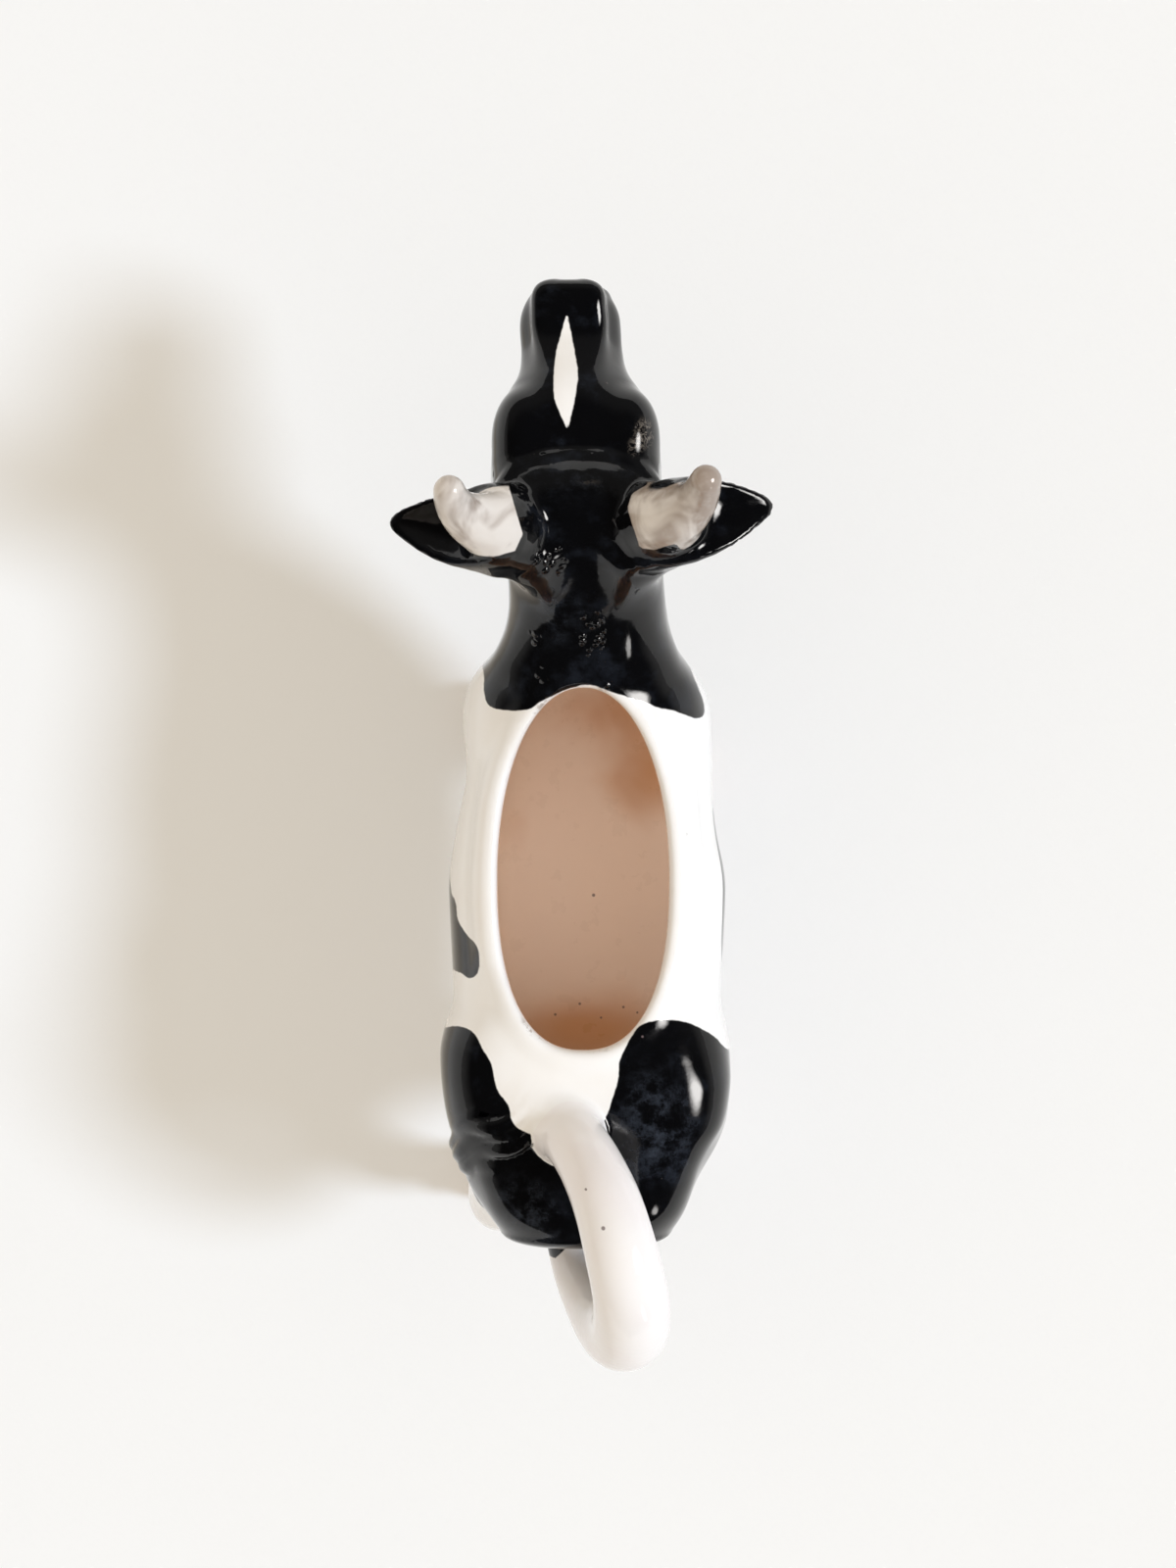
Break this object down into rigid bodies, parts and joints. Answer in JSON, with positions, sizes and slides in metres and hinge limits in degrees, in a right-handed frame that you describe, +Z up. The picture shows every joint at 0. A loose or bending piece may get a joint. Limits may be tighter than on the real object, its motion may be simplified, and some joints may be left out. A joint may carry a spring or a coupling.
{
  "type": "cow creamer",
  "caption": "Glazed earthenware cream jug shaped as a standing cow, filled through an oval opening in its back, poured through its mouth and held by its looped tail.",
  "frame": {"origin": "on the table, under the middle of the cow's bounding box", "axes": "+Y towards the head, +Z up, and the cow's own left is -X"},
  "size_m": [0.0629, 0.186, 0.1199],
  "materials": {
    "white_glaze": "glossy clear glaze over white earthenware, hand-painted black patches",
    "black_glaze": "glossy black glaze",
    "horn_glaze": "glossy glaze, mottled grey-beige",
    "leg_glaze": "glossy glaze, pink-cream hooves",
    "udder_glaze": "glossy pink glaze",
    "tail_glaze": "glossy glaze, pinkish white"
  },
  "bodies": {
    "root": {"body_shell": "white_glaze", "neck_head_shell": "black_glaze", "horn_left": "horn_glaze", "horn_right": "horn_glaze", "ear_left": "black_glaze", "ear_right": "black_glaze", "front_left_leg": "leg_glaze", "front_right_leg": "leg_glaze", "rear_left_leg": "leg_glaze", "rear_right_leg": "leg_glaze", "udder": "udder_glaze", "tail_handle": "tail_glaze", "tail_tuft": "black_glaze"}
  },
  "joints": []
}
